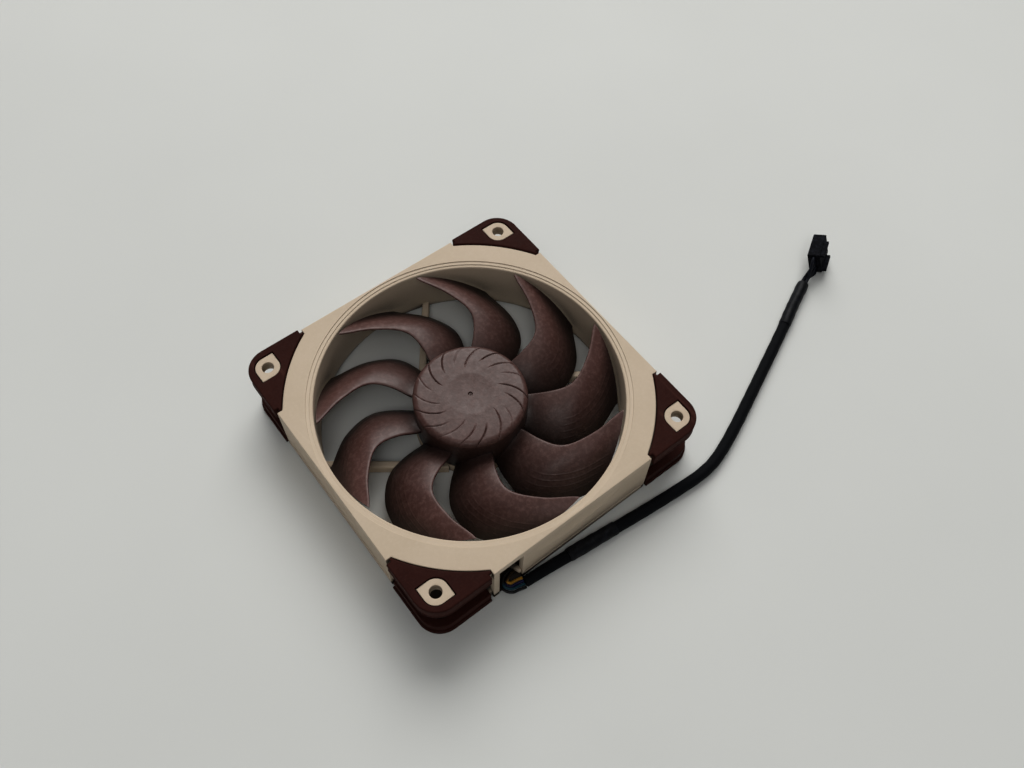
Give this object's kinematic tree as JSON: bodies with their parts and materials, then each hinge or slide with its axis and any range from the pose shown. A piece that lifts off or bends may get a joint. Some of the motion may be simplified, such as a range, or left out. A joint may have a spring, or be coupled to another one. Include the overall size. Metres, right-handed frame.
{
  "type": "case fan",
  "caption": "Square axial case fan: moulded frame with rubber corner pads, swept-blade impeller on a central motor, and a short sleeved lead ending in a flat plug.",
  "frame": {"origin": "middle of the square face that the fan lies on, at the rear (exhaust) pads' faces", "axes": "+Z along the impeller's axis towards the intake side; X and Y along the square's sides; the lead leaves the wall that looks along -Y and runs off towards +X"},
  "size_m": [0.2293, 0.1311, 0.025],
  "materials": {
    "frame": "fine matt moulding texture, beige",
    "pads": "soft matt brown rubber",
    "impeller": "matt grey-brown moulding",
    "yoke": "plain",
    "magnet": "matt ferrite",
    "steel": "ground",
    "core": "stacked sheets",
    "insulators": "plain",
    "coils": "enamelled copper wire",
    "circuit_board": "solder resist",
    "chips": "plain",
    "bearing_shell": "turned",
    "bearing_sleeve": "sintered",
    "thrust_plate": "smooth",
    "rear_label": "blank printed film",
    "wire_yellow": "smooth insulation",
    "wire_blue": "smooth insulation",
    "wire_green": "smooth insulation",
    "wire_black": "smooth insulation",
    "lead_sleeve": "fine braided sleeve",
    "heat_shrink": "shrunk tube, semi-matt",
    "plug": "moulded",
    "terminals": "tin-plated",
    "plug_wires": "smooth insulation"
  },
  "bodies": {
    "stator": {"frame": "frame", "pad_intake_back_right": "pads", "pad_rear_back_right": "pads", "pad_intake_back_left": "pads", "pad_rear_back_left": "pads", "pad_intake_front_left": "pads", "pad_rear_front_left": "pads", "pad_intake_front_right": "pads", "pad_rear_front_right": "pads", "stator_core": "core", "insulator_lower": "insulators", "insulator_upper": "insulators", "coil_1": "coils", "coil_2": "coils", "coil_3": "coils", "coil_4": "coils", "circuit_board": "circuit_board", "driver_chip": "chips", "hall_sensor": "chips", "bearing_shell": "bearing_shell", "bearing_sleeve": "bearing_sleeve", "thrust_plate": "thrust_plate", "rear_label": "rear_label", "wire_yellow": "wire_yellow", "wire_blue": "wire_blue", "wire_green": "wire_green", "wire_black": "wire_black", "lead_sleeve_short": "lead_sleeve", "heat_shrink_inner": "heat_shrink", "lead_sleeve": "lead_sleeve", "heat_shrink_outer": "heat_shrink", "plug_housing": "plug", "terminal_1": "terminals", "terminal_2": "terminals", "terminal_3": "terminals", "terminal_4": "terminals", "plug_wire_1": "plug_wires", "plug_wire_2": "plug_wires", "plug_wire_3": "plug_wires", "plug_wire_4": "plug_wires"},
    "rotor": {"impeller": "impeller", "rotor_yoke": "yoke", "rotor_magnet": "magnet", "shaft": "steel"}
  },
  "joints": [
    {"name": "impeller_spin", "type": "hinge", "parent": "stator", "child": "rotor", "pos_m": [0, 0, 0.012], "axis": [0, 0, 1], "continuous": true}
  ]
}
